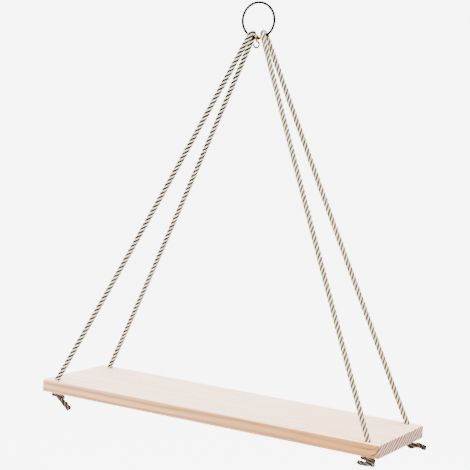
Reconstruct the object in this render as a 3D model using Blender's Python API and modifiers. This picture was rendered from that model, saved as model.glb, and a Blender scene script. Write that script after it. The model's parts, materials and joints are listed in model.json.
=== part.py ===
"""A hanging plant shelf: a pine board slung on two laid ropes from a metal ring, with a small hook under the ring.

Metres, +Z up. The long side of the board lies along X and its front faces -Y. The origin is the hanging point,
the inner top of the ring, where the hook that holds the shelf up bears.
"""

import math

import bmesh
import bpy
import numpy as np
from mathutils import Matrix, Vector

MM = 0.001
CLEARANCE = 0.3 * MM

# Board
BOARD_LENGTH = 400 * MM
BOARD_WIDTH = 120 * MM
BOARD_THICKNESS = 13.5 * MM
ARRIS = 0.7 * MM
HOLE_DIAMETER = 7 * MM
HOLE_FROM_END = {"left": 14 * MM, "right": 15.8 * MM}
HOLE_FROM_EDGE = 8 * MM
HOLE_SIDES = 24

# Ring
RING_RADIUS = 18.6 * MM
RING_WIRE = 2.5 * MM
RING_ABOVE_BOARD = 405.65 * MM

# Hook
HOOK_WIRE = 1.8 * MM
EYE_RADIUS = RING_WIRE / 2 + HOOK_WIRE / 2 + 0.4 * MM
BOW_RADIUS = 3.2 * MM
BOW_CENTRE = Vector((-0.2, 0, -6.6)) * MM

# Rope
ROPE_DIAMETER = 6 * MM
ROPE_LAY = 22 * MM
STRANDS = 4
GROOVE = 0.7
ROPE_SAG = 3 * MM
SEAT_ANGLES = {"left": math.radians(22), "right": math.radians(29)}
LEG_STEP = ROPE_LAY / 8
BEND_STEP = 1.6 * MM
LONG_RUN = 8 * MM
FOOT_RISE = 1.5 * MM
KNOT_SQUEEZE = 0.62
KNOT_CLEARANCE = 0.5 * MM

RING_CENTRE_Z = RING_WIRE / 2 - RING_RADIUS
BOARD_TOP_Z = RING_CENTRE_Z - RING_ABOVE_BOARD
UNDERSIDE_Z = BOARD_TOP_Z - BOARD_THICKNESS
HOLE_X = {
    "left": HOLE_FROM_END["left"] - BOARD_LENGTH / 2,
    "right": BOARD_LENGTH / 2 - HOLE_FROM_END["right"],
}
HOLE_Y = BOARD_WIDTH / 2 - HOLE_FROM_EDGE
SWING_AXIS = Vector((0, 0, RING_CENTRE_Z - RING_RADIUS))

# The turns of one stopper knot, in widths of squeezed rope from the hole's mouth under the board:
# across, ahead (the way the tail leaves) and drop.
KNOT_PITCH = KNOT_SQUEEZE * ROPE_DIAMETER + KNOT_CLEARANCE
KNOT_TURNS = (
    (0.00, 0.00, 0.40),
    (0.10, 0.00, 0.90),
    (0.45, 0.00, 1.30),
    (0.90, 0.20, 1.50),
    (1.30, 0.60, 1.50),
    (1.45, 1.10, 1.25),
    (1.25, 1.64, 0.87),
    (0.80, 1.92, 0.56),
    (0.25, 1.87, 0.54),
    (-0.25, 1.46, 0.54),
    (-0.60, 0.90, 0.55),
    (-0.95, 0.30, 0.60),
    (-0.90, -0.35, 0.65),
    (-0.45, -0.85, 0.65),
    (0.15, -1.00, 0.60),
    (0.70, -0.75, 0.54),
    (1.00, -0.25, 0.54),
    (0.95, 0.40, 0.54),
    (0.60, 0.86, 0.80),
    (0.42, 1.16, 1.27),
    (0.50, 1.65, 1.55),
    (0.70, 2.20, 1.70),
)

# Each corner's knot is turned by `heading` degrees and mirrored by `hand`. Its tail runs through offsets from the
# hole's mouth, in millimetres, and is squeezed to `fullness` of the rope's width.
CORNERS = {
    "front_left": {
        "heading": -40,
        "hand": 1,
        "tail": ((13.0, -4.8, -8.6), (17.3, -5.0, -11.6), (21.7, -5.2, -14.8)),
        "fullness": 1,
    },
    "back_left": {
        "heading": 205,
        "hand": -1,
        "tail": ((-13.5, -4.5, -9.2), (-17.5, -6.5, -11.5), (-21.5, -8.0, -14.5)),
        "fullness": 1,
    },
    "front_right": {
        "heading": -45,
        "hand": 1,
        "tail": (
            (10.4, -6.9, -6.4),
            (9.6, -9.5, -5.4),
            (7.1, -10.9, -5.2),
            (2.0, -10.9, -5.8),
            (-4.6, -10.0, -5.6),
        ),
        "fullness": 0.8,
    },
    "back_right": {
        "heading": -60,
        "hand": 1,
        "tail": ((9.6, -8.4, -7.0), (13.0, -8.4, -5.4), (18.0, -7.4, -4.6), (25.6, -5.0, -7.0)),
        "fullness": 0.95,
    },
}

# Colour as sRGB hex, roughness and metallic value
FINISHES = {
    "pine": ("#EBDDCB", 0.6, 0.0),
    "cotton_rope": ("#DCCBAE", 0.9, 0.0),
    "polished_brass": ("#B08D57", 0.2, 1.0),
}


def linear(channel):
    """One sRGB channel, 0 to 1, as linear light."""
    return channel / 12.92 if channel <= 0.04045 else ((channel + 0.055) / 1.055) ** 2.4


def finish(name):
    """The Principled material of the named finish, made once."""
    material = bpy.data.materials.get(name)
    if material:
        return material
    colour, roughness, metallic = FINISHES[name]
    channels = [linear(int(colour[start:start + 2], 16) / 255) for start in (1, 3, 5)]
    material = bpy.data.materials.new(name)
    material.use_nodes = True
    shader = material.node_tree.nodes["Principled BSDF"]
    shader.inputs["Base Color"].default_value = (*channels, 1)
    shader.inputs["Roughness"].default_value = roughness
    shader.inputs["Metallic"].default_value = metallic
    return material


def clear_scene():
    for old in list(bpy.data.objects):
        bpy.data.objects.remove(old, do_unlink=True)


def new_collection(name):
    collection = bpy.data.collections.new(name)
    bpy.context.scene.collection.children.link(collection)
    return collection


def new_object(name, data, collection, finish_name=None):
    obj = bpy.data.objects.new(name, data)
    collection.objects.link(obj)
    if finish_name:
        data.materials.append(finish(finish_name))
    return obj


def hide_guide(obj):
    obj.hide_render = True
    obj.display_type = "WIRE"


def smooth_curve(route):
    """The centripetal Catmull-Rom curve through the route's rows (x, y, z, fullness), in short steps.

    Long runs take the legs' step and short ones the bends' step.
    """
    rows = np.asarray(route, float)
    rows = np.vstack([2 * rows[0] - rows[1], rows, 2 * rows[-1] - rows[-2]])
    runs = []
    for p0, p1, p2, p3 in zip(rows, rows[1:], rows[2:], rows[3:]):
        spans = [np.linalg.norm((b - a)[:3]) for a, b in ((p0, p1), (p1, p2), (p2, p3))]
        t0, t1, t2, t3 = np.cumsum([0.0] + [math.sqrt(span) for span in spans])
        step = LEG_STEP if spans[1] > LONG_RUN else BEND_STEP
        t = np.linspace(t1, t2, math.ceil(spans[1] / step), endpoint=False)[:, None]
        a1 = (t1 - t) / (t1 - t0) * p0 + (t - t0) / (t1 - t0) * p1
        a2 = (t2 - t) / (t2 - t1) * p1 + (t - t1) / (t2 - t1) * p2
        a3 = (t3 - t) / (t3 - t2) * p2 + (t - t2) / (t3 - t2) * p3
        b1 = (t2 - t) / (t2 - t0) * a1 + (t - t0) / (t2 - t0) * a2
        b2 = (t3 - t) / (t3 - t1) * a2 + (t - t1) / (t3 - t1) * a3
        runs.append((t2 - t) / (t2 - t1) * b1 + (t - t1) / (t2 - t1) * b2)
    return np.vstack(runs + [rows[-2:-1]])


def end_route(corner):
    """Route rows from just over one hole down through it, round its stopper knot and along the tail."""
    row = CORNERS[corner]
    depth = 1 if corner.startswith("back") else -1
    mouth = np.array((HOLE_X[corner.split("_")[1]], depth * HOLE_Y, UNDERSIDE_Z))
    heading = math.radians(row["heading"])
    ahead_way = np.array((math.cos(heading), math.sin(heading), 0))
    across_way = row["hand"] * np.array((-math.sin(heading), math.cos(heading), 0))
    down = np.array((0, 0, -1))
    rises = (BOARD_THICKNESS + FOOT_RISE, BOARD_THICKNESS * 0.7, BOARD_THICKNESS * 0.35)
    route = [(*(mouth - rise * down), 1) for rise in rises]
    route.append((*mouth, KNOT_SQUEEZE))
    for across, ahead, drop in KNOT_TURNS:
        turn = mouth + KNOT_PITCH * (across * across_way + ahead * ahead_way + drop * down)
        route.append((*turn, KNOT_SQUEEZE))
    for offset in row["tail"]:
        route.append((*(mouth + MM * np.array(offset)), row["fullness"]))
    return route


def leg_route(start, foot):
    """Route rows of one slack leg between the ring and its hole, sagging as a shallow parabola."""
    rows = []
    for part in (0.03, 0.1, 0.25, 0.4, 0.55, 0.7, 0.85, 0.94, 0.98):
        point = start + (foot - start) * part
        point[2] -= ROPE_SAG * 4 * part * (1 - part)
        rows.append((*point, 1))
    return rows


def rope_route(side):
    """Route rows of one rope: front tail, knot and hole, over the ring, back hole, knot and tail."""
    name = "right" if side > 0 else "left"
    front = end_route("front_" + name)
    back = end_route("back_" + name)
    seat_angle = SEAT_ANGLES[name]
    pull = np.array((side * math.sin(seat_angle), 0, -math.cos(seat_angle)))
    wire = np.array((0, 0, RING_CENTRE_Z)) + RING_RADIUS * pull
    bend = RING_WIRE / 2 + CLEARANCE + ROPE_DIAMETER / 2
    seat = []
    for degrees in range(-90, 91, 30):
        angle = math.radians(degrees)
        point = wire - bend * math.cos(angle) * pull + bend * math.sin(angle) * np.array((0, 1, 0))
        seat.append((*point, 1))
    front_leg = leg_route(np.array(seat[0][:3]), np.array(front[0][:3]))
    back_leg = leg_route(np.array(seat[-1][:3]), np.array(back[0][:3]))
    return front[::-1] + front_leg[::-1] + seat + back_leg + back


def rope_section(collection):
    """Closed outline of the laid strands: a crown for each strand and a groove between them."""
    data = bpy.data.curves.new("rope_section", "CURVE")
    spline = data.splines.new("POLY")
    spline.points.add(2 * STRANDS - 1)
    spline.use_cyclic_u = True
    for index, point in enumerate(spline.points):
        radius = ROPE_DIAMETER / 2 * (GROOVE if index % 2 else 1)
        angle = -math.pi * index / STRANDS
        point.co = (radius * math.cos(angle), radius * math.sin(angle), 0, 1)
    section = new_object("rope_section", data, collection)
    hide_guide(section)
    return section


def build_rope(name, side, section, collection):
    """One laid rope: the strands' outline carried along its route and turned once in each lay."""
    line = smooth_curve(rope_route(side))
    lengths = np.linalg.norm(np.diff(line[:, :3], axis=0), axis=1)
    along = np.concatenate([[0], np.cumsum(lengths)])
    data = bpy.data.curves.new(name, "CURVE")
    data.dimensions = "3D"
    data.twist_mode = "MINIMUM"
    data.bevel_mode = "OBJECT"
    data.bevel_object = section
    data.use_fill_caps = True
    spline = data.splines.new("POLY")
    spline.points.add(len(line) - 1)
    for point, row, distance in zip(spline.points, line, along):
        point.co = (*row[:3], 1)
        point.radius = row[3]
        point.tilt = 2 * math.pi * distance / ROPE_LAY
    return new_object(name, data, collection, "cotton_rope")


def build_board(parts, cutters):
    """The planed board with eased arrises and a drilled hole near each corner."""
    mesh = bpy.data.meshes.new("board")
    shape = bmesh.new()
    size = Matrix.Diagonal((BOARD_LENGTH, BOARD_WIDTH, BOARD_THICKNESS, 1))
    bmesh.ops.create_cube(shape, size=1, matrix=size)
    shape.to_mesh(mesh)
    shape.free()
    board = new_object("board", mesh, parts, "pine")
    board.location = (0, 0, BOARD_TOP_Z - BOARD_THICKNESS / 2)
    bevel = board.modifiers.new("eased arrises", "BEVEL")
    bevel.width = ARRIS
    bevel.segments = 2
    drill_mesh = bpy.data.meshes.new("drill")
    shape = bmesh.new()
    bmesh.ops.create_cone(
        shape,
        cap_ends=True,
        segments=HOLE_SIDES,
        radius1=HOLE_DIAMETER / 2,
        radius2=HOLE_DIAMETER / 2,
        depth=2 * BOARD_THICKNESS,
    )
    shape.to_mesh(drill_mesh)
    shape.free()
    for x in HOLE_X.values():
        for y in (-HOLE_Y, HOLE_Y):
            drill = new_object("drill", drill_mesh, cutters)
            drill.location = (x, y, board.location.z)
            hide_guide(drill)
            cut = board.modifiers.new("hole", "BOOLEAN")
            cut.operation = "DIFFERENCE"
            cut.solver = "EXACT"
            cut.object = drill


def build_ring(parts):
    """The closed ring of round wire, standing in the plane of the board's length."""
    bpy.ops.mesh.primitive_torus_add(
        major_radius=RING_RADIUS,
        minor_radius=RING_WIRE / 2,
        major_segments=48,
        minor_segments=8,
        location=(0, 0, RING_CENTRE_Z),
        rotation=(math.pi / 2, 0, 0),
    )
    ring = bpy.context.object
    ring.name = "ring"
    for old in list(ring.users_collection):
        old.objects.unlink(ring)
    parts.objects.link(ring)
    ring.data.materials.append(finish("polished_brass"))
    ring.data.shade_smooth()


def build_hook(parts):
    """The bent-wire hook: an eye round the ring's lowest wire, a short neck and an open bow in the ring's plane."""
    points = []
    for degrees in range(-50, 216, 20):
        angle = math.radians(degrees)
        points.append(Vector((0, EYE_RADIUS * math.cos(angle), EYE_RADIUS * math.sin(angle))))
    points.append(Vector((0.05, -1.0, -2.6)) * MM)
    points.append(Vector((0.15, -0.15, -3.4)) * MM)
    for degrees in range(50, -196, -20):
        angle = math.radians(degrees)
        points.append(BOW_CENTRE + BOW_RADIUS * Vector((math.cos(angle), 0, math.sin(angle))))
    data = bpy.data.curves.new("hook", "CURVE")
    data.dimensions = "3D"
    data.bevel_depth = HOOK_WIRE / 2
    data.bevel_resolution = 2
    data.use_fill_caps = True
    spline = data.splines.new("POLY")
    spline.points.add(len(points) - 1)
    for point, place in zip(spline.points, points):
        point.co = (*place, 1)
    hook = new_object("hook", data, parts, "polished_brass")
    hook.location = SWING_AXIS


def main():
    clear_scene()
    parts = new_collection("hanging_plant_shelf")
    cutters = new_collection("cutters_and_guides")
    build_board(parts, cutters)
    build_ring(parts)
    build_hook(parts)
    section = rope_section(cutters)
    build_rope("rope_left", -1, section, parts)
    build_rope("rope_right", 1, section, parts)


main()
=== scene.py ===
"""Looks of the hanging plant shelf: planed pine, laid cotton rope and polished wire, on a pale studio
sweep.

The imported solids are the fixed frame. Sizes are in metres, +Z is up, the board's long side lies along X
and its front faces -Y. The origin is the inner top of the ring.
"""

import json
import math

import bpy
import numpy as np
from mathutils import Matrix, Vector


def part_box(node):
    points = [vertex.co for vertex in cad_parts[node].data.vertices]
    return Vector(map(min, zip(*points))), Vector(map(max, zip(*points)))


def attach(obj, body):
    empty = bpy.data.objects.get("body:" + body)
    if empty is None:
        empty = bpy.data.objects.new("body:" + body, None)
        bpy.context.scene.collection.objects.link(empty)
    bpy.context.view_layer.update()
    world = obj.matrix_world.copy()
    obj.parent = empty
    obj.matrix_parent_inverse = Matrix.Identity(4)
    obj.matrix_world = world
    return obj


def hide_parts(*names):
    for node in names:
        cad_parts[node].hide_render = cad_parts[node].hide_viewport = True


bl_info = {
    "name": "Hanging Plant Shelf",
    "version": (1, 0, 0),
    "blender": (4, 5, 0),
    "location": "View3D > Sidebar > Plant Shelf",
    "description": "Dresses a pine plant shelf that hangs on laid rope from a ring",
    "category": "Object",
}

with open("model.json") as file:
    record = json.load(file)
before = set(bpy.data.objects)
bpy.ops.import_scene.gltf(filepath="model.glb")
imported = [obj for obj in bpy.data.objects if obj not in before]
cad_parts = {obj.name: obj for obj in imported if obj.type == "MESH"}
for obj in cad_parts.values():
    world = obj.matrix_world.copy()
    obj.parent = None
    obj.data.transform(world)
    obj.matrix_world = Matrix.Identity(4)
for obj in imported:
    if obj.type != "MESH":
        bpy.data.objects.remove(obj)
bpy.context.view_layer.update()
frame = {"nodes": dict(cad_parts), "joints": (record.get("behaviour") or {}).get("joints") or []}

MM = 0.001
SHELF_BODY = "shelf"
HOOK_BODY = "hook"

# Sizes read from the solids
BOARD_LOW, BOARD_HIGH = (np.array(corner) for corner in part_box("board"))
RING_LOW, RING_HIGH = (np.array(corner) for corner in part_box("ring"))
RING_WIRE = RING_HIGH[1] - RING_LOW[1]
RING_CENTRE_Z = (RING_LOW[2] + RING_HIGH[2]) / 2
RING_RADIUS = (RING_HIGH[0] - RING_LOW[0] - RING_WIRE) / 2
SWING_AXIS = np.array(frame["joints"][0]["pos_m"])
BOARD_THICKNESS = BOARD_HIGH[2] - BOARD_LOW[2]
HOLE_X = {"left": BOARD_LOW[0] + 14 * MM, "right": BOARD_HIGH[0] - 15.8 * MM}
HOLE_Y = BOARD_HIGH[1] - 8 * MM

# Rope
ROPE_GAP = 0.3 * MM
ROPE_SAG = 3 * MM
SEAT_ANGLES = {"left": math.radians(22), "right": math.radians(29)}
FOOT_RISE = 1.5 * MM
KNOT_SQUEEZE = 0.62
KNOT_CLEARANCE = 0.5 * MM
LEG_STEP = 0.8 * MM
BEND_STEP = 0.45 * MM
LONG_RUN = 8 * MM
STRANDS = 4
STRAND_FACES = 8
END_ROUND = 0.5 * MM

# The turns of one stopper knot, in widths of squeezed rope from the hole's mouth under the board:
# across, ahead (the way the tail leaves) and drop.
KNOT_TURNS = (
    (0.00, 0.00, 0.40),
    (0.10, 0.00, 0.90),
    (0.45, 0.00, 1.30),
    (0.90, 0.20, 1.50),
    (1.30, 0.60, 1.50),
    (1.45, 1.10, 1.25),
    (1.25, 1.64, 0.87),
    (0.80, 1.92, 0.56),
    (0.25, 1.87, 0.54),
    (-0.25, 1.46, 0.54),
    (-0.60, 0.90, 0.55),
    (-0.95, 0.30, 0.60),
    (-0.90, -0.35, 0.65),
    (-0.45, -0.85, 0.65),
    (0.15, -1.00, 0.60),
    (0.70, -0.75, 0.54),
    (1.00, -0.25, 0.54),
    (0.95, 0.40, 0.54),
    (0.60, 0.86, 0.80),
    (0.42, 1.16, 1.27),
    (0.50, 1.65, 1.55),
    (0.70, 2.20, 1.70),
)

# Each corner's knot is turned by `heading` degrees and mirrored by `hand`. Its tail runs through
# offsets from the hole's mouth, in millimetres, at `fullness` of the rope's width. The painted shadow and
# `scorch`, 0 to 1, are how dark brown the knot and tail are painted as the board's shadow over them and
# how far the cut end is singed.
CORNERS = {
    "front_left": {
        "heading": -40,
        "hand": 1,
        "tail": ((13.0, -4.8, -8.6), (17.3, -5.0, -11.6), (21.7, -5.2, -14.8)),
        "fullness": 1,
        "board_shadow": 0.9,
        "scorch": 0.35,
    },
    "back_left": {
        "heading": 205,
        "hand": -1,
        "tail": ((-13.5, -4.5, -9.2), (-17.5, -6.5, -11.5), (-21.5, -8.0, -14.5)),
        "fullness": 1,
        "board_shadow": 0.8,
        "scorch": 0.4,
    },
    "front_right": {
        "heading": -45,
        "hand": 1,
        "tail": (
            (10.4, -6.9, -6.4),
            (9.6, -9.5, -5.4),
            (7.1, -10.9, -5.2),
            (2.0, -10.9, -5.8),
            (-4.6, -10.0, -5.6),
        ),
        "fullness": 0.8,
        "board_shadow": 0.92,
        "scorch": 0.8,
    },
    "back_right": {
        "heading": -60,
        "hand": 1,
        "tail": ((9.6, -8.4, -7.0), (13.0, -8.4, -5.4), (18.0, -7.4, -4.6), (25.6, -5.0, -7.0)),
        "fullness": 0.95,
        "board_shadow": 1.0,
        "scorch": 1.0,
    },
}

# How dark the painted shade in the grooves of each rope above the board is, 0 to 1
GROOVE_SHADE = {"left": 1.0, "right": 0.5}

# The knot in the wood that the front edge cuts
WOOD_KNOT_X = float(BOARD_HIGH[0] - 9 * MM)
WOOD_KNOT_Z = float(BOARD_HIGH[2] - 3 * MM)
WOOD_KNOT_RADIUS = 8 * MM

# Hook
HOOK_WIRE = 1.8 * MM
EYE_RADIUS = RING_WIRE / 2 + HOOK_WIRE / 2 + 0.4 * MM
BOW_RADIUS = 3.2 * MM
BOW_CENTRE = np.array((-0.2, 0, -6.6)) * MM
HOOK_STEP = 0.2 * MM
WIRE_SIDES = 20
RING_STEPS = 180

# Camera, where the photograph was taken from
CAMERA_PLACE = (0.6903, -1.3145, -0.0979)
CAMERA_YAW = math.radians(27.97)
CAMERA_PITCH = math.radians(-5.61)
CAMERA_ROLL = math.radians(4.5)
CAMERA_LENS = 107.9
CAMERA_SENSOR = 36.0


def linear(colour):
    """An sRGB hex colour as linear red, green, blue and alpha."""
    channels = np.array([int(colour[start:start + 2], 16) for start in (1, 3, 5)]) / 255
    curved = np.where(channels <= 0.04045, channels / 12.92, ((channels + 0.055) / 1.055) ** 2.4)
    return (*(float(channel) for channel in curved), 1.0)


def add_node(tree, kind, inputs=None, stops=None, **settings):
    """Adds one shader node with its settings, colour stops and inputs, each a value or another node's
    output.
    """
    node = tree.nodes.new(kind)
    for name, value in settings.items():
        setattr(node, name, value)
    for index, (place, colour) in enumerate(stops or ()):
        elements = node.color_ramp.elements
        element = elements[index] if index < 2 else elements.new(place)
        element.position = place
        element.color = colour
    for socket, value in (inputs or {}).items():
        if isinstance(value, bpy.types.NodeSocket):
            tree.links.new(value, node.inputs[socket])
        else:
            node.inputs[socket].default_value = value
    return node


def new_material(name):
    """An empty material of that name, with its tree, Principled shader and output."""
    material = bpy.data.materials.new(name)
    material.use_nodes = True
    tree = material.node_tree
    return material, tree, tree.nodes["Principled BSDF"]


def unit(rows):
    """Each row of an array at length one."""
    return rows / np.linalg.norm(rows, axis=-1, keepdims=True)


def smooth_curve(route, leg_step, bend_step):
    """The centripetal Catmull-Rom curve through the route's rows (x, y, z, fullness), in short steps.

    Between two rows the point is a blend of blends: three straight blends of neighbouring rows, timed
    by the square root of their distance, two blends of those, and one of these.
    """
    rows = np.asarray(route, float)
    rows = np.vstack([2 * rows[0] - rows[1], rows, 2 * rows[-1] - rows[-2]])
    runs = []
    for p0, p1, p2, p3 in zip(rows, rows[1:], rows[2:], rows[3:]):
        spans = [np.linalg.norm((b - a)[:3]) for a, b in ((p0, p1), (p1, p2), (p2, p3))]
        t0, t1, t2, t3 = np.cumsum([0.0] + [math.sqrt(span) for span in spans])
        step = leg_step if spans[1] > LONG_RUN else bend_step
        t = np.linspace(t1, t2, math.ceil(spans[1] / step), endpoint=False)[:, None]
        a1 = (t1 - t) / (t1 - t0) * p0 + (t - t0) / (t1 - t0) * p1
        a2 = (t2 - t) / (t2 - t1) * p1 + (t - t1) / (t2 - t1) * p2
        a3 = (t3 - t) / (t3 - t2) * p2 + (t - t2) / (t3 - t2) * p3
        b1 = (t2 - t) / (t2 - t0) * a1 + (t - t0) / (t2 - t0) * a2
        b2 = (t3 - t) / (t3 - t1) * a2 + (t - t1) / (t3 - t1) * a3
        runs.append((t2 - t) / (t2 - t1) * b1 + (t - t1) / (t2 - t1) * b2)
    return np.vstack(runs + [rows[-2:-1]])


def carried_frames(line):
    """Tangent, side and upper direction at each point of a line, carried along it without twist.

    Each step reflects the last side direction in the plane between the two points, and again in the
    plane between the reflected tangent and the new one.
    """
    tangents = unit(np.gradient(line, axis=0))
    start = np.cross(tangents[0], (0.0, 0.0, 1.0))
    if np.linalg.norm(start) < 0.1:
        start = np.cross(tangents[0], (0.0, 1.0, 0.0))
    sides = [unit(start)]
    for here, there, tangent, next_tangent in zip(line, line[1:], tangents, tangents[1:]):
        step = there - here
        across = step / (step @ step)
        side = sides[-1] - 2 * (across @ sides[-1]) * step
        turned = tangent - 2 * (across @ tangent) * step
        rest = next_tangent - turned
        size = rest @ rest
        sides.append(side - 2 * (rest @ side) / size * rest if size > 1e-18 else side)
    sides = np.array(sides)
    return tangents, sides, np.cross(tangents, sides)


def distances(line):
    """How far along the line each of its points lies."""
    return np.concatenate([[0], np.cumsum(np.linalg.norm(np.diff(line, axis=0), axis=1))])


def tube_faces(rings, around):
    """Quads of a grid of rings that closes round itself, with a fan to a pole at each end.

    Ring r, place a is point r * around + a. The two poles follow the last ring.
    """
    ring = np.arange(rings - 1)[:, None] * around
    here = np.arange(around)[None, :]
    there = (here + 1) % around
    quads = np.stack([ring + here, ring + there, ring + around + there, ring + around + here], axis=-1)
    first, last = rings * around, rings * around + 1
    top = (rings - 1) * around
    ahead = (np.arange(around) + 1) % around
    fans = [(first, int(b), int(a)) for a, b in enumerate(ahead)]
    fans += [(last, top + int(a), top + int(b)) for a, b in enumerate(ahead)]
    return quads.reshape(-1, 4).tolist() + fans


def make_piece(name, points, faces, material, body, node_names, layers=None, grid_uv=None):
    """A finished smooth mesh at the origin that rides on its body and stands for its solids.

    layers holds one number a point for each named attribute, and grid_uv the two map coordinates of
    each point.
    """
    mesh = bpy.data.meshes.new(name)
    mesh.from_pydata(np.asarray(points).tolist(), [], faces)
    for layer, values in (layers or {}).items():
        attribute = mesh.attributes.new(layer, "FLOAT", "POINT")
        attribute.data.foreach_set("value", np.asarray(values, np.float32))
    if grid_uv is not None:
        corners = np.empty(len(mesh.loops), np.int32)
        mesh.loops.foreach_get("vertex_index", corners)
        uv_map = mesh.uv_layers.new(name="lay")
        uv_map.data.foreach_set("uv", np.asarray(grid_uv, np.float32)[corners].reshape(-1))
    mesh.shade_smooth()
    mesh.materials.append(material)
    mesh.validate()
    piece = bpy.data.objects.new(name, mesh)
    bpy.context.scene.collection.objects.link(piece)
    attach(piece, body)
    if node_names:
        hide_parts(*node_names)
    return piece


def end_route(corner):
    """Route rows from just over one hole down through it, round its stopper knot and along the tail."""
    row = CORNERS[corner]
    depth = 1 if corner.startswith("back") else -1
    mouth = np.array((HOLE_X[corner.split("_")[1]], depth * HOLE_Y, BOARD_LOW[2]))
    heading = math.radians(row["heading"])
    ahead_way = np.array((math.cos(heading), math.sin(heading), 0))
    across_way = row["hand"] * np.array((-math.sin(heading), math.cos(heading), 0))
    down = np.array((0, 0, -1))
    pitch = KNOT_SQUEEZE * bpy.context.scene.plant_shelf.rope_diameter + KNOT_CLEARANCE
    rises = (BOARD_THICKNESS + FOOT_RISE, BOARD_THICKNESS * 0.7, BOARD_THICKNESS * 0.35)
    route = [(*(mouth - rise * down), 1) for rise in rises]
    route.append((*mouth, KNOT_SQUEEZE))
    for across, ahead, drop in KNOT_TURNS:
        turn = mouth + pitch * (across * across_way + ahead * ahead_way + drop * down)
        route.append((*turn, KNOT_SQUEEZE))
    for offset in row["tail"]:
        route.append((*(mouth + MM * np.array(offset)), row["fullness"]))
    return route


def leg_route(start, foot):
    """Route rows of one slack leg between the ring and its hole, sagging as a shallow parabola."""
    rows = []
    for part in (0.03, 0.1, 0.25, 0.4, 0.55, 0.7, 0.85, 0.94, 0.98):
        point = start + (foot - start) * part
        point[2] -= ROPE_SAG * 4 * part * (1 - part)
        rows.append((*point, 1))
    return rows


def rope_route(name):
    """Route rows of one rope: front tail, knot and hole, over the ring, back hole, knot and tail."""
    side = 1 if name == "right" else -1
    front = end_route("front_" + name)
    back = end_route("back_" + name)
    seat_angle = SEAT_ANGLES[name]
    pull = np.array((side * math.sin(seat_angle), 0, -math.cos(seat_angle)))
    wire = np.array((0, 0, RING_CENTRE_Z)) + RING_RADIUS * pull
    bend = RING_WIRE / 2 + ROPE_GAP + bpy.context.scene.plant_shelf.rope_diameter / 2
    seat = []
    for degrees in range(-90, 91, 30):
        angle = math.radians(degrees)
        point = wire - bend * math.cos(angle) * pull + bend * math.sin(angle) * np.array((0, 1, 0))
        seat.append((*point, 1))
    front_leg = leg_route(np.array(seat[0][:3]), np.array(front[0][:3]))
    back_leg = leg_route(np.array(seat[-1][:3]), np.array(back[0][:3]))
    return front[::-1] + front_leg[::-1] + seat + back_leg + back


def strand_outline():
    """Radius of the rope's outline as a share of its full radius, and how deep in a groove each place
    lies.

    Four equal circles stand round the rope's axis. At an angle from its own middle, a circle's far side
    lies at offset times cosine plus the root of radius squared less offset times sine squared.
    """
    offset, radius = 0.54, 0.46
    around = STRANDS * STRAND_FACES
    angle = 2 * math.pi * np.arange(around) / around
    own = (angle + math.pi / STRANDS) % (2 * math.pi / STRANDS) - math.pi / STRANDS
    reach = offset * np.cos(own) + np.sqrt(radius ** 2 - (offset * np.sin(own)) ** 2)
    depth = (1 - reach) / (1 - reach.min())
    return angle, reach, depth


def rope_surface(line, diameter, lay, seed):
    """Points, places along and round, and groove depth of a laid rope.

    The strands' outline is turned once in each lay as it is carried along the line, and swells and
    thins a little with slow waves of random phase. Rounded rings and a pole close each end.
    """
    centres, fullness = line[:, :3], line[:, 3]
    along = distances(centres)
    tangents, sides, uppers = carried_frames(centres)
    angle, reach, depth = strand_outline()
    phases = np.random.default_rng(seed).uniform(0, 2 * math.pi, (STRANDS, 3))
    waves = (37 * MM, 11 * MM, 5.3 * MM)
    strand = np.floor((angle / (2 * math.pi) * STRANDS + 0.5)) % STRANDS
    swell = np.ones((len(centres), len(angle)))
    for index, wave in enumerate(waves):
        phase = phases[strand.astype(int), index]
        swell += 0.012 * np.sin(2 * math.pi * along[:, None] / wave + phase) * (1 - depth)
    radius = diameter / 2 * fullness[:, None] * reach * np.minimum(swell, 1.02)
    for rounding in (0.45, 0.8):
        rim = END_ROUND * (1 - rounding)
        radius[along < rim] *= rounding + 0.1
        radius[along[-1] - along < rim] *= rounding + 0.1
    turn = angle[None, :] + 2 * math.pi * along[:, None] / lay
    rings = (
        centres[:, None, :]
        + (radius * np.cos(turn))[..., None] * sides[:, None, :]
        + (radius * np.sin(turn))[..., None] * uppers[:, None, :]
    )
    poles = np.array([centres[0] - 0.15 * MM * tangents[0], centres[-1] + 0.15 * MM * tangents[-1]])
    points = np.vstack([rings.reshape(-1, 3), poles])
    place_round = np.broadcast_to(angle / (2 * math.pi), turn.shape).reshape(-1)
    place_along = np.repeat(along / lay, len(angle))
    grid_uv = np.column_stack([
        np.append(place_round, (0.5, 0.5)),
        np.append(place_along, (0.0, along[-1] / lay)),
    ])
    groove = np.append(np.broadcast_to(depth, turn.shape).reshape(-1), (0.6, 0.6))
    return points, grid_uv, groove, along


def below_board(points):
    """0 above the board and inside its holes, rising to 1 just under it, by height."""
    return np.clip((BOARD_LOW[2] - points[:, 2]) / (1.5 * MM), 0, 1)


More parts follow.
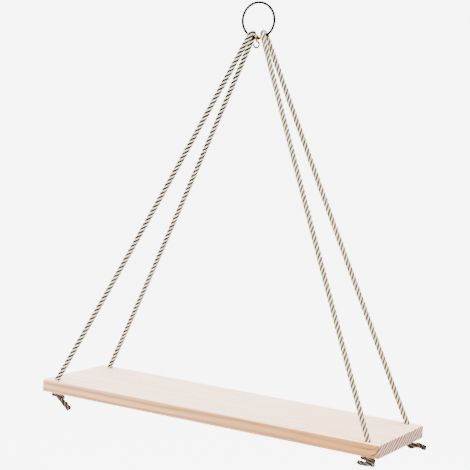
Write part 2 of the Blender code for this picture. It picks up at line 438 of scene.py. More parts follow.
def rope_fibres(line, diameter, count, seed):
    """Points and faces of stray cotton fibres that stand off the rope, each a bent three-sided hair.

    A fibre starts on the rope, leans along it and bends back: its middle line is its root plus length
    times (lean times t plus stand times t less half of t squared), and it thins to its tip.
    """
    random = np.random.default_rng(seed)
    centres, fullness = line[:, :3], line[:, 3]
    tangents, sides, uppers = carried_frames(centres)
    at = random.integers(2, len(centres) - 2, count)
    turn = random.uniform(0, 2 * math.pi, count)
    out = np.cos(turn)[:, None] * sides[at] + np.sin(turn)[:, None] * uppers[at]
    around = np.cross(tangents[at], out)
    way = random.choice((-1.0, 1.0), count)[:, None]
    lean = unit(tangents[at] * way + random.normal(0, 0.5, count)[:, None] * around)
    length = random.uniform(0.8, 2.6, count)[:, None, None] * MM
    root = centres[at] + out * (diameter / 2 * fullness[at] * 0.8)[:, None]
    t = np.linspace(0, 1, 5)[None, :, None]
    middle = root[:, None] + length * (lean[:, None] * t + out[:, None] * (0.75 * t - 0.5 * t ** 2))
    thickness = random.uniform(0.02, 0.035, count)[:, None, None, None] * MM * (1 - 0.7 * t[..., None])
    corner = 2 * math.pi * np.arange(3) / 3
    ring = np.cos(corner)[None, :, None] * out[:, None] + np.sin(corner)[None, :, None] * around[:, None]
    points = (middle[:, :, None] + thickness * ring[:, None]).reshape(-1, 3)
    rows = np.arange(4)[:, None] * 3
    here = np.arange(3)[None, :]
    after = (here + 1) % 3
    quads = np.stack([rows + here, rows + after, rows + 3 + after, rows + 3 + here], axis=-1)
    hair = 15 * np.arange(count)[:, None, None]
    faces = (quads.reshape(1, -1, 4) + hair).reshape(-1, 4).tolist()
    caps = np.concatenate([hair[:, 0] + (0, 2, 1), hair[:, 0] + (12, 13, 14)])
    return points, faces + caps.tolist()


def cotton_rope_material(settings):
    """Natural cotton, laid from four strands: matt, cream on the crowns and dark in the grooves, where
    shade between the strands is painted into the colour.

    The yarns of a strand run almost along the rope, about 0.35 mm apart, and show as fine lines up
    close. Under the board the knots and tails are painted dark brown as the board's shadow, and their cut
    ends are singed so that they do not fray.
    """
    material, tree, shader = new_material("laid natural cotton")
    place = add_node(tree, "ShaderNodeUVMap", uv_map="lay").outputs[0]
    groove = add_node(tree, "ShaderNodeAttribute", attribute_name="groove").outputs["Fac"]
    groove_shade = add_node(tree, "ShaderNodeAttribute", attribute_name="groove_shade").outputs["Fac"]
    board_shadow = add_node(tree, "ShaderNodeAttribute", attribute_name="board_shadow").outputs["Fac"]
    scorch = add_node(tree, "ShaderNodeAttribute", attribute_name="scorch").outputs["Fac"]
    split = add_node(tree, "ShaderNodeSeparateXYZ", {0: place})
    yarn_place = add_node(
        tree, "ShaderNodeMath", {0: split.outputs[0], 1: split.outputs[1]}, operation="ADD"
    )
    yarn_turn = add_node(
        tree, "ShaderNodeMath", {0: yarn_place.outputs[0], 1: 2 * math.pi * 36}, operation="MULTIPLY"
    )
    yarns = add_node(tree, "ShaderNodeMath", {0: yarn_turn.outputs[0]}, operation="SINE")
    coordinates = add_node(tree, "ShaderNodeTexCoord").outputs["Object"]
    fuzz = add_node(
        tree,
        "ShaderNodeTexNoise",
        {"Vector": coordinates, "Scale": 1 / (0.5 * MM), "Detail": 3.0, "Roughness": 0.6},
    )
    patches = add_node(
        tree, "ShaderNodeTexNoise", {"Vector": coordinates, "Scale": 1 / (9 * MM), "Detail": 2.0}
    )
    crown = add_node(
        tree,
        "ShaderNodeValToRGB",
        {0: patches.outputs[0]},
        ((0.3, linear(settings.rope_shade)), (0.7, linear(settings.rope_colour))),
    )
    # Painted shade in the grooves between the strands: brown where it is faint, the groove colour where it
    # is full
    faint_groove_shade = add_node(
        tree,
        "ShaderNodeMix",
        {0: groove_shade, 6: linear("#746248"), 7: linear(settings.groove_shade_colour)},
        data_type="RGBA",
    )
    # Dark brown painted shadow of the board on the strands' crowns below it
    crown_board_shadow = add_node(
        tree,
        "ShaderNodeValToRGB",
        {0: patches.outputs[0]},
        ((0.35, linear("#2C1F15")), (0.65, linear("#74543A"))),
    )
    shadowed_crown = add_node(
        tree,
        "ShaderNodeMix",
        {0: board_shadow, 6: crown.outputs[0], 7: crown_board_shadow.outputs[0]},
        data_type="RGBA",
    )
    # Grooves below the board take a near-black painted shadow of the board
    shadowed_groove = add_node(
        tree,
        "ShaderNodeMix",
        {0: board_shadow, 6: faint_groove_shade.outputs[2], 7: linear("#15100B")},
        data_type="RGBA",
    )
    deep = add_node(
        tree,
        "ShaderNodeMapRange",
        {0: groove, 1: settings.groove_start, 2: settings.groove_full},
        interpolation_type="SMOOTHSTEP",
    )
    laid = add_node(
        tree,
        "ShaderNodeMix",
        {0: deep.outputs[0], 6: shadowed_crown.outputs[2], 7: shadowed_groove.outputs[2]},
        data_type="RGBA",
    )
    burnt = add_node(
        tree, "ShaderNodeMix", {0: scorch, 6: laid.outputs[2], 7: linear("#0E0A08")}, data_type="RGBA"
    )
    yarn_height = add_node(tree, "ShaderNodeMath", {0: yarns.outputs[0], 1: 0.35}, operation="MULTIPLY")
    rough_height = add_node(
        tree, "ShaderNodeMath", {0: fuzz.outputs[0], 1: yarn_height.outputs[0]}, operation="ADD"
    )
    bump = add_node(
        tree,
        "ShaderNodeBump",
        {"Height": rough_height.outputs[0], "Strength": 0.6, "Distance": 0.12 * MM},
    )
    tree.links.new(burnt.outputs[2], shader.inputs["Base Color"])
    tree.links.new(bump.outputs[0], shader.inputs["Normal"])
    shader.inputs["Roughness"].default_value = 0.92
    shader.inputs["IOR"].default_value = 1.53
    shader.inputs["Specular IOR Level"].default_value = 0.15
    return material


def planed_pine_material(settings):
    """Planed, bare pine: pale summer wood and darker winter lines of the growth rings, which run along
    the board.

    The rings are planes that climb towards the back, so they show as lines on the faces and stripes on
    the ends. The ends are sawn, and their open pores leave them dull. The front edge cuts a small knot
    near its right end: warm brown inside, a dark crescent of bark on its lower right, and one winter line
    that sweeps up over it.
    """
    material, tree, shader = new_material("planed pine")
    coordinates = add_node(tree, "ShaderNodeTexCoord")
    place = coordinates.outputs["Object"]
    split = add_node(tree, "ShaderNodeSeparateXYZ", {0: place})
    facing = add_node(tree, "ShaderNodeSeparateXYZ", {0: coordinates.outputs["Normal"]})
    end_facing = add_node(tree, "ShaderNodeMath", {0: facing.outputs[0]}, operation="ABSOLUTE")
    end_face = add_node(tree, "ShaderNodeMapRange", {0: end_facing.outputs[0], 1: 0.5, 2: 0.9})
    edge_facing = add_node(tree, "ShaderNodeMath", {0: facing.outputs[1]}, operation="ABSOLUTE")
    edge_face = add_node(tree, "ShaderNodeMapRange", {0: edge_facing.outputs[0], 1: 0.5, 2: 0.9})
    front_face = add_node(
        tree, "ShaderNodeMapRange", {0: facing.outputs[1], 1: -0.5, 2: -0.9, 3: 0.0, 4: 1.0}
    )

    wander_place = add_node(tree, "ShaderNodeMapping", {0: place, 3: (3.0, 42.0, 42.0)})
    wander = add_node(
        tree, "ShaderNodeTexNoise", {"Vector": wander_place.outputs[0], "Scale": 1.0, "Detail": 1.5}
    )
    across = add_node(
        tree, "ShaderNodeVectorMath", {0: place, 1: (0.0, -0.625, 0.78)}, operation="DOT_PRODUCT"
    )
    shift = add_node(tree, "ShaderNodeMath", {0: wander.outputs[0], 1: 9 * MM}, operation="MULTIPLY")
    depth = add_node(
        tree, "ShaderNodeMath", {0: across.outputs["Value"], 1: shift.outputs[0]}, operation="ADD"
    )
    years = add_node(
        tree, "ShaderNodeMath", {0: depth.outputs[0], 1: settings.growth_ring}, operation="DIVIDE"
    )
    season = add_node(tree, "ShaderNodeMath", {0: years.outputs[0]}, operation="FRACT")
    winter = add_node(
        tree,
        "ShaderNodeValToRGB",
        {0: season.outputs[0]},
        (
            (0.0, (0.15, 0.15, 0.15, 1)),
            (0.12, (0, 0, 0, 1)),
            (0.36, (0.08, 0.08, 0.08, 1)),
            (0.72, (1, 1, 1, 1)),
            (1.0, (0.35, 0.35, 0.35, 1)),
        ),
    )
    streak_place = add_node(tree, "ShaderNodeMapping", {0: place, 3: (14.0, 700.0, 700.0)})
    streaks = add_node(
        tree, "ShaderNodeTexNoise", {"Vector": streak_place.outputs[0], "Scale": 1.0, "Detail": 3.0}
    )
    cloud_place = add_node(tree, "ShaderNodeMapping", {0: place, 3: (6.0, 40.0, 40.0)})
    clouds = add_node(
        tree, "ShaderNodeTexNoise", {"Vector": cloud_place.outputs[0], "Scale": 1.0, "Detail": 2.0}
    )

    rightwards = add_node(
        tree, "ShaderNodeMapRange", {0: split.outputs[0], 1: float(BOARD_LOW[0]), 2: float(BOARD_HIGH[0])}
    )
    face_colour = add_node(
        tree,
        "ShaderNodeMix",
        {0: rightwards.outputs[0], 6: linear(settings.pine_colour), 7: linear(settings.pine_warm_colour)},
        data_type="RGBA",
    )
    edge_colour = add_node(
        tree,
        "ShaderNodeMix",
        {0: rightwards.outputs[0], 6: linear(settings.edge_colour), 7: linear(settings.edge_warm_colour)},
        data_type="RGBA",
    )
    summer_face = add_node(
        tree,
        "ShaderNodeMix",
        {0: edge_face.outputs[0], 6: face_colour.outputs[2], 7: edge_colour.outputs[2]},
        data_type="RGBA",
    )
    summer = add_node(
        tree,
        "ShaderNodeMix",
        {0: end_face.outputs[0], 6: summer_face.outputs[2], 7: linear(settings.end_colour)},
        data_type="RGBA",
    )
    winter_wood = add_node(
        tree,
        "ShaderNodeMix",
        {0: end_face.outputs[0], 6: linear(settings.winter_colour), 7: linear(settings.end_winter_colour)},
        data_type="RGBA",
    )
    edge_lines = add_node(tree, "ShaderNodeMapRange", {0: edge_face.outputs[0], 3: 0.45, 4: 0.95})
    end_lines = add_node(tree, "ShaderNodeMapRange", {0: end_face.outputs[0], 3: 0.0, 4: 0.95})
    line_share = add_node(
        tree, "ShaderNodeMath", {0: edge_lines.outputs[0], 1: end_lines.outputs[0]}, operation="ADD"
    )
    line_depth = add_node(
        tree, "ShaderNodeMath", {0: winter.outputs[0], 1: line_share.outputs[0]}, operation="MULTIPLY"
    )
    lined = add_node(
        tree,
        "ShaderNodeMix",
        {0: line_depth.outputs[0], 6: summer.outputs[2], 7: winter_wood.outputs[2]},
        data_type="RGBA",
    )

    from_knot = add_node(
        tree,
        "ShaderNodeVectorMath",
        {0: place, 1: (1.0, 0.0, 1.0), 2: (-WOOD_KNOT_X, 0.0, -WOOD_KNOT_Z)},
        operation="MULTIPLY_ADD",
    )
    knot_far = add_node(tree, "ShaderNodeVectorMath", {0: from_knot.outputs[0]}, operation="LENGTH")
    knot_side = add_node(
        tree,
        "ShaderNodeVectorMath",
        {0: from_knot.outputs[0], 1: (0.766, 0.0, -0.643)},
        operation="DOT_PRODUCT",
    )
    heart_reach = add_node(
        tree,
        "ShaderNodeMapRange",
        {0: knot_far.outputs["Value"], 1: WOOD_KNOT_RADIUS, 2: WOOD_KNOT_RADIUS * 0.75, 3: 0.0, 4: 0.6},
    )
    heart_side = add_node(
        tree,
        "ShaderNodeMapRange",
        {0: knot_side.outputs["Value"], 1: 0.0, 2: WOOD_KNOT_RADIUS * 0.5},
        interpolation_type="SMOOTHSTEP",
    )
    heart = add_node(
        tree,
        "ShaderNodeMath",
        {0: heart_reach.outputs[0], 1: heart_side.outputs[0]},
        operation="MULTIPLY",
    )
    off_rim = add_node(
        tree,
        "ShaderNodeMath",
        {0: knot_far.outputs["Value"], 1: WOOD_KNOT_RADIUS, 2: 0.0},
        operation="SUBTRACT",
    )
    off_rim_size = add_node(tree, "ShaderNodeMath", {0: off_rim.outputs[0]}, operation="ABSOLUTE")
    rim = add_node(tree, "ShaderNodeMapRange", {0: off_rim_size.outputs[0], 1: 1.0 * MM, 2: 0.3 * MM})
    rim_side = add_node(
        tree,
        "ShaderNodeMapRange",
        {0: knot_side.outputs["Value"], 1: WOOD_KNOT_RADIUS * 0.62, 2: WOOD_KNOT_RADIUS * 0.85},
        interpolation_type="SMOOTHSTEP",
    )
    bark = add_node(
        tree, "ShaderNodeMath", {0: rim.outputs[0], 1: rim_side.outputs[0]}, operation="MULTIPLY"
    )
    sweep_part = add_node(
        tree,
        "ShaderNodeMapRange",
        {0: split.outputs[0], 1: WOOD_KNOT_X - 3 * MM, 2: WOOD_KNOT_X + 7.5 * MM},
    )
    sweep_rise = add_node(tree, "ShaderNodeMath", {0: sweep_part.outputs[0], 1: 3.0}, operation="POWER")
    sweep_height = add_node(
        tree,
        "ShaderNodeMapRange",
        {0: sweep_rise.outputs[0], 3: WOOD_KNOT_Z - 2.4 * MM, 4: WOOD_KNOT_Z + 2.0 * MM},
    )
    off_line = add_node(
        tree, "ShaderNodeMath", {0: split.outputs[2], 1: sweep_height.outputs[0]}, operation="SUBTRACT"
    )
    off_line_size = add_node(tree, "ShaderNodeMath", {0: off_line.outputs[0]}, operation="ABSOLUTE")
    line_near = add_node(
        tree, "ShaderNodeMapRange", {0: off_line_size.outputs[0], 1: 0.9 * MM, 2: 0.2 * MM}
    )
    line_start = add_node(
        tree,
        "ShaderNodeMapRange",
        {0: split.outputs[0], 1: WOOD_KNOT_X - 26 * MM, 2: WOOD_KNOT_X + 4 * MM, 3: 0.0, 4: 0.9},
    )
    swept = add_node(
        tree, "ShaderNodeMath", {0: line_near.outputs[0], 1: line_start.outputs[0]}, operation="MULTIPLY"
    )
    marks = add_node(
        tree, "ShaderNodeMath", {0: swept.outputs[0], 1: bark.outputs[0]}, operation="MAXIMUM"
    )
    heart_share = add_node(
        tree, "ShaderNodeMath", {0: heart.outputs[0], 1: front_face.outputs[0]}, operation="MULTIPLY"
    )
    mark_share = add_node(
        tree, "ShaderNodeMath", {0: marks.outputs[0], 1: front_face.outputs[0]}, operation="MULTIPLY"
    )
    warmed = add_node(
        tree,
        "ShaderNodeMix",
        {0: heart_share.outputs[0], 6: lined.outputs[2], 7: linear("#B97F45")},
        data_type="RGBA",
    )
    marked = add_node(
        tree,
        "ShaderNodeMix",
        {0: mark_share.outputs[0], 6: warmed.outputs[2], 7: linear("#3F2818")},
        data_type="RGBA",
    )

    streak_share = add_node(
        tree, "ShaderNodeMapRange", {0: streaks.outputs[0], 1: 0.3, 2: 0.7, 3: 0.78, 4: 1.08}
    )
    cloud_share = add_node(
        tree, "ShaderNodeMapRange", {0: clouds.outputs[0], 1: 0.3, 2: 0.7, 3: 0.95, 4: 1.03}
    )
    shade = add_node(
        tree,
        "ShaderNodeMath",
        {0: streak_share.outputs[0], 1: cloud_share.outputs[0]},
        operation="MULTIPLY",
    )
    toned = add_node(
        tree, "ShaderNodeVectorMath", {0: marked.outputs[2], "Scale": shade.outputs[0]}, operation="SCALE"
    )
    relief = add_node(
        tree, "ShaderNodeMath", {0: streaks.outputs[0], 1: winter.outputs[0]}, operation="ADD"
    )
    bump = add_node(
        tree, "ShaderNodeBump", {"Height": relief.outputs[0], "Strength": 0.25, "Distance": 0.1 * MM}
    )
    sheen = add_node(tree, "ShaderNodeMapRange", {0: end_face.outputs[0], 3: 0.5, 4: 0.05})
    gloss = add_node(tree, "ShaderNodeMapRange", {0: winter.outputs[0], 3: 0.66, 4: 0.56})
    tree.links.new(toned.outputs[0], shader.inputs["Base Color"])
    tree.links.new(gloss.outputs[0], shader.inputs["Roughness"])
    tree.links.new(bump.outputs[0], shader.inputs["Normal"])
    tree.links.new(sheen.outputs[0], shader.inputs["Specular IOR Level"])
    shader.inputs["IOR"].default_value = 1.5
    return material


def polished_wire_material(name, colours, turns_bright_at, roughness):
    """Drawn wire of brass, polished: mirror-like, with dull patches and fine scratches. Its near-black
    colour is painted dark reflection.

    colours holds the near-black metal, painted dark reflection, and the rubbed metal. The rubbed one
    starts at the height turns_bright_at and below.
    """
    material, tree, shader = new_material(name)
    place = add_node(tree, "ShaderNodeTexCoord").outputs["Object"]
    split = add_node(tree, "ShaderNodeSeparateXYZ", {0: place})
    tarnish = add_node(
        tree, "ShaderNodeTexNoise", {"Vector": place, "Scale": 1 / (14 * MM), "Detail": 2.0}
    )
    rubbed = add_node(
        tree,
        "ShaderNodeMapRange",
        {0: split.outputs[2], 1: turns_bright_at + 1.5 * MM, 2: turns_bright_at - 1.5 * MM},
        interpolation_type="SMOOTHSTEP",
    )
    metal = add_node(
        tree,
        "ShaderNodeMix",
        {0: rubbed.outputs[0], 6: linear(colours[0]), 7: linear(colours[1])},
        data_type="RGBA",
    )
    patchy = add_node(tree, "ShaderNodeMapRange", {0: tarnish.outputs[0], 1: 0.3, 2: 0.7, 3: 0.7, 4: 1.2})
    tone = add_node(
        tree, "ShaderNodeVectorMath", {0: metal.outputs[2], "Scale": patchy.outputs[0]}, operation="SCALE"
    )
    dulled = add_node(
        tree,
        "ShaderNodeMapRange",
        {0: tarnish.outputs[0], 1: 0.3, 2: 0.7, 3: roughness, 4: roughness + 0.12},
    )
    scratches = add_node(
        tree, "ShaderNodeTexNoise", {"Vector": place, "Scale": 1 / (0.3 * MM), "Detail": 2.0}
    )
    bump = add_node(
        tree, "ShaderNodeBump", {"Height": scratches.outputs[0], "Strength": 0.04, "Distance": 0.01 * MM}
    )
    tree.links.new(tone.outputs[0], shader.inputs["Base Color"])
    tree.links.new(tone.outputs[0], shader.inputs["Specular Tint"])
    tree.links.new(dulled.outputs[0], shader.inputs["Roughness"])
    tree.links.new(bump.outputs[0], shader.inputs["Normal"])
    shader.inputs["Metallic"].default_value = 1.0
    return material


def area_light(name, place, target, size, power, colour):
    """A square soft light at a place, turned to face a target."""
    lamp = bpy.data.lights.new(name, "AREA")
    lamp.size = size
    lamp.energy = power
    lamp.color = linear(colour)[:3]
    obj = bpy.data.objects.new(name, lamp)
    bpy.context.scene.collection.objects.link(obj)
    obj.location = place
    obj.rotation_euler = (Vector(place) - Vector(target)).to_track_quat("Z", "Y").to_euler()
    return obj


class PlantShelfSettings(bpy.types.PropertyGroup):
    """Sizes and colours that a user of the shelf may change."""

    rope_diameter: bpy.props.FloatProperty(
        name="Rope diameter",
        description="Diameter over the crowns of the strands",
        default=6 * MM,
        unit="LENGTH",
    )
    rope_lay: bpy.props.FloatProperty(
        name="Rope lay",
        description="Length in which a strand goes once round the rope",
        default=22 * MM,
        unit="LENGTH",
    )
    rope_colour: bpy.props.StringProperty(
        name="Rope colour",
        description="Clean cotton on the strands' crowns, as sRGB hex",
        default="#F8EFDE",
    )
    rope_shade: bpy.props.StringProperty(
        name="Rope shade",
        description="Handled cotton on the strands' crowns, as sRGB hex",
        default="#EEDEC4",
    )
    # Painted shade between the strands, at its darkest
    groove_shade_colour: bpy.props.StringProperty(
        name="Groove colour",
        description="Dusty cotton between the strands, as sRGB hex",
        default="#24190E",
    )
    # Where the painted groove shade starts and where it is full, as shares of the groove's depth
    groove_start: bpy.props.FloatProperty(
        name="Groove start", description="Share of the groove's depth at which dust starts", default=0.03
    )
    groove_full: bpy.props.FloatProperty(
        name="Groove full", description="Share of the groove's depth from which dust is full", default=0.2
    )
    fibre_count: bpy.props.IntProperty(
        name="Stray fibres", description="How many loose fibres stand off each rope", default=900, min=0
    )
    growth_ring: bpy.props.FloatProperty(
        name="Growth ring",
        description="Width of one year's growth in the pine",
        default=4.9 * MM,
        unit="LENGTH",
    )
    pine_colour: bpy.props.StringProperty(
        name="Pine colour",
        description="Summer wood at the left end of the wide faces, as sRGB hex",
        default="#F9D7C0",
    )
    pine_warm_colour: bpy.props.StringProperty(
        name="Warm pine",
        description="Summer wood at the right end of the wide faces, as sRGB hex",
        default="#F8CCA8",
    )
    edge_colour: bpy.props.StringProperty(
        name="Edge colour",
        description="Summer wood at the left end of the long edges, as sRGB hex",
        default="#D9AA80",
    )
    edge_warm_colour: bpy.props.StringProperty(
        name="Warm edge",
        description="Summer wood at the right end of the long edges, as sRGB hex",
        default="#B67834",
    )
    end_colour: bpy.props.StringProperty(
        name="End grain", description="Summer wood on the sawn ends, as sRGB hex", default="#B6927C"
    )
    winter_colour: bpy.props.StringProperty(
        name="Winter wood",
        description="Dark line of each growth ring along the grain, as sRGB hex",
        default="#9C6434",
    )
    end_winter_colour: bpy.props.StringProperty(
        name="Winter end grain",
        description="Dark line of each growth ring on the ends, as sRGB hex",
        default="#38251A",
    )
    # Near-black metal: painted dark reflection on the ring and the hook
    dark_reflection_colour: bpy.props.StringProperty(
        name="Aged metal",
        description="Darkened brass of the ring and hook, as sRGB hex",
        default="#100D09",
    )
    rubbed_colour: bpy.props.StringProperty(
        name="Rubbed metal",
        description="Brass that shows at the hook's eye, as sRGB hex",
        default="#A07C3C",
    )
    backdrop_glow: bpy.props.FloatProperty(
        name="Backdrop glow",
        description="Light given off by the far side of the sweep",
        default=3.6,
        min=0.0,
    )
    floor_drop: bpy.props.FloatProperty(
        name="Floor drop",
        description="Height of the hanging shelf over the floor",
        default=0.45,
        unit="LENGTH",
    )


class PLANTSHELF_OT_board(bpy.types.Operator):
    """Finish the drilled board as planed pine"""

    bl_idname = "plantshelf.finish_board"
    bl_label = "Finish Board"

    def execute(self, context):
        """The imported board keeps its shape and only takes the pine."""
        board = frame["nodes"]["board"]
        material = planed_pine_material(context.scene.plant_shelf)
        for slot in board.material_slots:
            slot.material = material
        return {"FINISHED"}


class PLANTSHELF_OT_ropes(bpy.types.Operator):
    """Lay both four-strand ropes along their routes, with stray fibres"""

    bl_idname = "plantshelf.lay_ropes"
    bl_label = "Lay Ropes"

    def execute(self, context):
        """Each point of a rope carries how deep in a groove it is, how strong its painted groove shade is,
        how dark its painted board shadow is and how singed it is, 0 to 1.
        """
        settings = context.scene.plant_shelf
        material = cotton_rope_material(settings)
        fibre_material, tree, shader = new_material("loose cotton fibre")
        shader.inputs["Base Color"].default_value = linear(settings.rope_colour)
        shader.inputs["Roughness"].default_value = 0.9
        for seed, name in enumerate(("left", "right")):
            line = smooth_curve(rope_route(name), LEG_STEP, BEND_STEP)
            diameter, lay = settings.rope_diameter, settings.rope_lay
            points, grid_uv, groove, along = rope_surface(line, diameter, lay, seed)
            around = STRANDS * STRAND_FACES
            reach = 3.5 * MM
            front_end = np.clip(1 - along / reach, 0, 1) * CORNERS["front_" + name]["scorch"]
            back_end = np.clip(1 - (along[-1] - along) / reach, 0, 1) * CORNERS["back_" + name]["scorch"]
            scorch = np.append(np.repeat(front_end + back_end, around), (front_end[0], back_end[-1]))
            front_half = np.append(np.repeat(along < along[-1] / 2, around), (True, False))
            front, back = CORNERS["front_" + name], CORNERS["back_" + name]
            # Knots and tails below the board are painted dark brown as its shadow, as strongly as each
            # corner gives
            board_shadow = np.where(front_half, front["board_shadow"], back["board_shadow"])
            layers = {
                "groove": groove,
                # Painted shade in the grooves, stronger on the left rope than on the right
                "groove_shade": np.full(len(points), GROOVE_SHADE[name]),
                "board_shadow": board_shadow * below_board(points),
                "scorch": scorch,
            }
            faces = tube_faces(len(line), around)
            node = "rope_" + name
            make_piece(
                node + "_laid",
                points,
                faces,
                material,
                SHELF_BODY,
                (node,),
                layers,
                grid_uv,
            )
            hairs, hair_faces = rope_fibres(line, diameter, settings.fibre_count, seed + 10)
            make_piece(node + "_fibres", hairs, hair_faces, fibre_material, SHELF_BODY, ())
        return {"FINISHED"}


class PLANTSHELF_OT_ring(bpy.types.Operator):
    """Form the round ring of polished wire"""

    bl_idname = "plantshelf.form_ring"
    bl_label = "Form Ring"

    def execute(self, context):
        """The ring is a circle carried round a circle: (R + r cos b) outwards and r sin b along Y."""
        turn = 2 * math.pi * np.arange(RING_STEPS)[:, None] / RING_STEPS
        wire = 2 * math.pi * np.arange(WIRE_SIDES)[None, :] / WIRE_SIDES
        out = RING_RADIUS + RING_WIRE / 2 * np.cos(wire)
        points = np.stack([
            out * np.sin(turn),
            RING_WIRE / 2 * np.sin(wire) + 0 * turn,
            RING_CENTRE_Z + out * np.cos(turn),
        ], axis=-1).reshape(-1, 3)
        ring = np.arange(RING_STEPS)[:, None] * WIRE_SIDES
        next_ring = (ring + WIRE_SIDES) % (RING_STEPS * WIRE_SIDES)
        here = np.arange(WIRE_SIDES)[None, :]
        there = (here + 1) % WIRE_SIDES
        faces = np.stack([ring + here, ring + there, next_ring + there, next_ring + here], axis=-1)
        # The whole ring takes the near-black painted dark reflection
        dark_reflection = context.scene.plant_shelf.dark_reflection_colour
        material = polished_wire_material("polished ring wire", (dark_reflection, dark_reflection), RING_CENTRE_Z, 0.15)
        quads = faces.reshape(-1, 4).tolist()
        make_piece("ring_polished", points, quads, material, SHELF_BODY, ("ring",))
        return {"FINISHED"}


class PLANTSHELF_OT_hook(bpy.types.Operator):
    """Bend the wire hook whose eye is closed round the ring"""

    bl_idname = "plantshelf.bend_hook"
    bl_label = "Bend Hook"

    def execute(self, context):
        """The wire's route is an arc in the YZ plane for the eye, a short neck and an arc in XZ for the
        bow.
        """
        eye_turn = np.radians(np.arange(-50, 216, 20))
        eye = EYE_RADIUS * np.column_stack([0 * eye_turn, np.cos(eye_turn), np.sin(eye_turn)])
        neck = np.array(((0.05, -1.0, -2.6), (0.15, -0.15, -3.4))) * MM
        bow_turn = np.radians(np.arange(50, -196, -20))
        bow = BOW_CENTRE + BOW_RADIUS * np.column_stack([np.cos(bow_turn), 0 * bow_turn, np.sin(bow_turn)])
        route = np.vstack([eye, neck, bow]) + SWING_AXIS
        line = smooth_curve(np.column_stack([route, np.ones(len(route))]), HOOK_STEP, HOOK_STEP)[:, :3]
        along = distances(line)
        tangents, sides, uppers = carried_frames(line)
        near_end = np.minimum(along, along[-1] - along) / (HOOK_WIRE / 2)
        radius = HOOK_WIRE / 2 * np.sqrt(1 - np.clip(1 - near_end, 0, 0.98) ** 2)
        turn = 2 * math.pi * np.arange(WIRE_SIDES) / WIRE_SIDES
        ring = np.cos(turn)[None, :, None] * sides[:, None] + np.sin(turn)[None, :, None] * uppers[:, None]
        points = (line[:, None] + radius[:, None, None] * ring).reshape(-1, 3)
        points = np.vstack([points, line[0], line[-1]])
        # The hook's eye takes the rubbed brass, and the wire below it takes the near-black painted dark
        # reflection
        colours = (context.scene.plant_shelf.rubbed_colour, context.scene.plant_shelf.dark_reflection_colour)
        material = polished_wire_material("polished hook wire", colours, SWING_AXIS[2] - 2 * MM, 0.3)
        faces = tube_faces(len(line), WIRE_SIDES)
        make_piece("hook_bent", points, faces, material, HOOK_BODY, ("hook",))
        return {"FINISHED"}


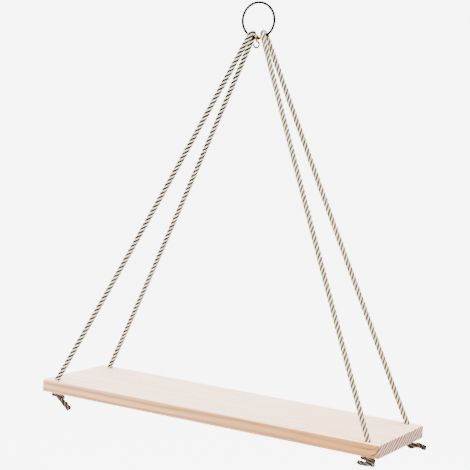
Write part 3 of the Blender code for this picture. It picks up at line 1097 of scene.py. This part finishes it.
class PLANTSHELF_OT_stage(bpy.types.Operator):
    """Set the pale sweep, the soft lights and the camera"""

    bl_idname = "plantshelf.set_stage"
    bl_label = "Set Stage"

    def execute(self, context):
        """The sweep is a profile turned once: a flat floor, a quarter circle and an upright wall."""
        scene = context.scene
        floor_z = BOARD_LOW[2] - scene.plant_shelf.floor_drop
        flat, bend, top = 3.0, 1.5, 4.0
        curve = np.linspace(0, math.pi / 2, 17)
        profile_out = np.concatenate([[0.01, 1.0], flat + bend * np.sin(curve), [flat + bend]])
        profile_up = np.concatenate([[0, 0], bend * (1 - np.cos(curve)), [top]])
        turn = 2 * math.pi * np.arange(96)[:, None] / 96
        points = np.stack([
            profile_out * np.cos(turn), profile_out * np.sin(turn), floor_z + profile_up + 0 * turn
        ], axis=-1).reshape(-1, 3)
        width = len(profile_out)
        column = np.arange(96)[:, None] * width
        next_column = (column + width) % (96 * width)
        row = np.arange(width - 1)[None, :]
        near, far = column + row, next_column + row
        quads = np.stack([near, near + 1, far + 1, far], axis=-1)
        mesh = bpy.data.meshes.new("studio_sweep")
        middle_face = [list(range(0, 96 * width, width))]
        mesh.from_pydata(points.tolist(), [], quads.reshape(-1, 4).tolist() + middle_face)
        mesh.shade_smooth()
        material, tree, shader = new_material("pale painted sweep")
        place = add_node(tree, "ShaderNodeTexCoord").outputs["Object"]
        split = add_node(tree, "ShaderNodeSeparateXYZ", {0: place})
        glow = add_node(
            tree,
            "ShaderNodeMapRange",
            {0: split.outputs[1], 1: 0.3, 2: 1.1, 3: 0.0, 4: scene.plant_shelf.backdrop_glow},
            interpolation_type="SMOOTHSTEP",
        )
        tree.links.new(glow.outputs[0], shader.inputs["Emission Strength"])
        shader.inputs["Base Color"].default_value = linear("#EDEDEC")
        shader.inputs["Roughness"].default_value = 0.9
        shader.inputs["Emission Color"].default_value = linear("#FFFFFF")
        mesh.materials.append(material)
        sweep = bpy.data.objects.new("studio_sweep", mesh)
        scene.collection.objects.link(sweep)

        world = bpy.data.worlds.new("studio_air")
        world.use_nodes = True
        background = world.node_tree.nodes["Background"]
        background.inputs["Color"].default_value = linear("#FFFFFF")
        background.inputs["Strength"].default_value = 1.2
        scene.world = world
        middle = (0.0, 0.0, -0.3)
        area_light("key_light", (-1.2, -1.6, 1.3), middle, 1.2, 90.0, "#FFFDFA")
        area_light("top_light", (0.2, 0.4, 1.6), middle, 1.5, 140.0, "#FFFFFF")
        area_light("right_light", (2.2, -0.8, 0.4), middle, 1.0, 4.0, "#F8FAFF")
        area_light("glint_light", (-0.8, -1.6, 1.0), middle, 0.12, 8.0, "#FFFFFF")

        camera = bpy.data.cameras.new("photo_camera")
        camera.lens = CAMERA_LENS
        camera.sensor_width = CAMERA_SENSOR
        camera_object = bpy.data.objects.new("photo_camera", camera)
        scene.collection.objects.link(camera_object)
        camera_object.matrix_world = (
            Matrix.Translation(CAMERA_PLACE)
            @ Matrix.Rotation(CAMERA_YAW, 4, "Z")
            @ Matrix.Rotation(math.pi / 2 + CAMERA_PITCH, 4, "X")
            @ Matrix.Rotation(CAMERA_ROLL, 4, "Z")
        )
        scene.camera = camera_object
        return {"FINISHED"}


class PLANTSHELF_PT_panel(bpy.types.Panel):
    """The shelf's settings and the steps that make it"""

    bl_idname = "PLANTSHELF_PT_panel"
    bl_label = "Plant Shelf"
    bl_space_type = "VIEW_3D"
    bl_region_type = "UI"
    bl_category = "Plant Shelf"

    def draw(self, context):
        """One row for each setting, then one button for each step."""
        layout = self.layout
        settings = context.scene.plant_shelf
        for name in settings.bl_rna.properties.keys():
            if name not in ("rna_type", "name"):
                layout.prop(settings, name)
        for step in STEPS:
            layout.operator(step.bl_idname)


STEPS = (
    PLANTSHELF_OT_stage,
    PLANTSHELF_OT_board,
    PLANTSHELF_OT_ropes,
    PLANTSHELF_OT_ring,
    PLANTSHELF_OT_hook,
)
CLASSES = (PlantShelfSettings, *STEPS, PLANTSHELF_PT_panel)


def register():
    """Add the settings, the steps and the panel to Blender."""
    for each in CLASSES:
        bpy.utils.register_class(each)
    bpy.types.Scene.plant_shelf = bpy.props.PointerProperty(type=PlantShelfSettings)


def unregister():
    """Take the settings, the steps and the panel out again."""
    del bpy.types.Scene.plant_shelf
    for each in reversed(CLASSES):
        bpy.utils.unregister_class(each)


def main():
    """Make the whole shelf."""
    register()
    bpy.ops.plantshelf.set_stage()
    bpy.ops.plantshelf.finish_board()
    bpy.ops.plantshelf.lay_ropes()
    bpy.ops.plantshelf.form_ring()
    bpy.ops.plantshelf.bend_hook()


if __name__ == "__main__":
    main()
